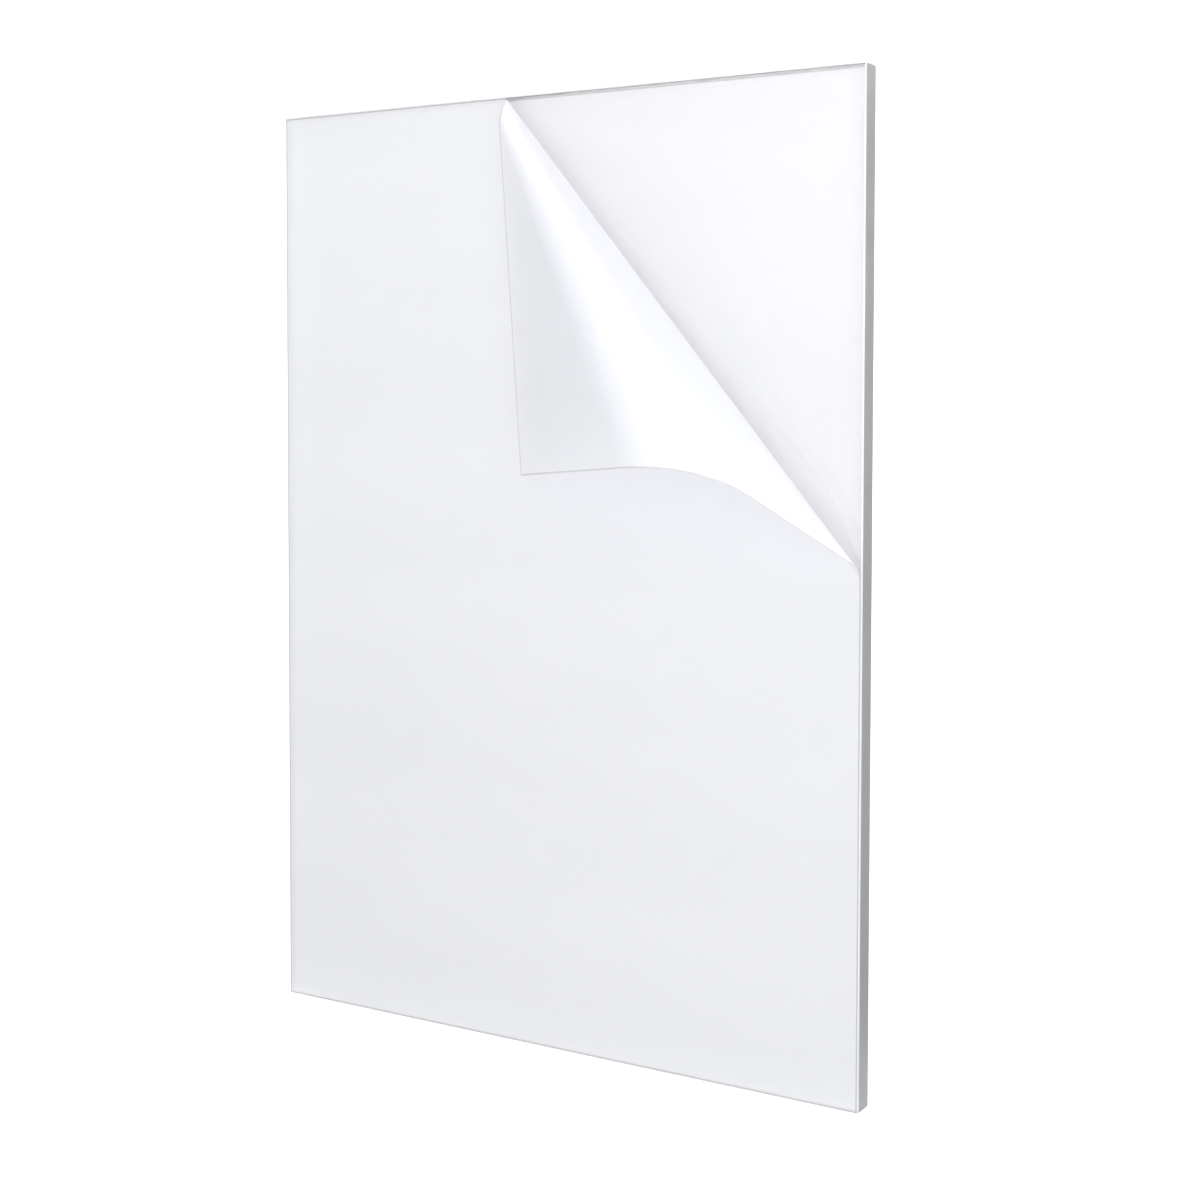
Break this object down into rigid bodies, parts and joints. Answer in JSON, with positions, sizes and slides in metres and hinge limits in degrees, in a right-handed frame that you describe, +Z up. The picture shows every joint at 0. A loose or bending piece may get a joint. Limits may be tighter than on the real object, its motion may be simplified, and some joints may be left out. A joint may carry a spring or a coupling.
{
  "type": "clear acrylic sheet",
  "caption": "Rectangular cut panel of clear acrylic with a masking film on each face, the upper film peeled back from one corner in a curl.",
  "frame": {"origin": "middle of the underside, on the surface that the panel lies on", "axes": "+Z up through the thickness, Y along the panel's length, X across its width; the peeled corner is at +X, +Y"},
  "size_m": [0.297, 0.42, 0.0651],
  "materials": {
    "clear_acrylic": "clear cast acrylic, polished faces, finely sawn edges",
    "masking_film": "thin translucent polyethylene film, satin"
  },
  "bodies": {
    "root": {"acrylic_sheet": "clear_acrylic", "front_film": "masking_film", "back_film": "masking_film"}
  },
  "joints": []
}
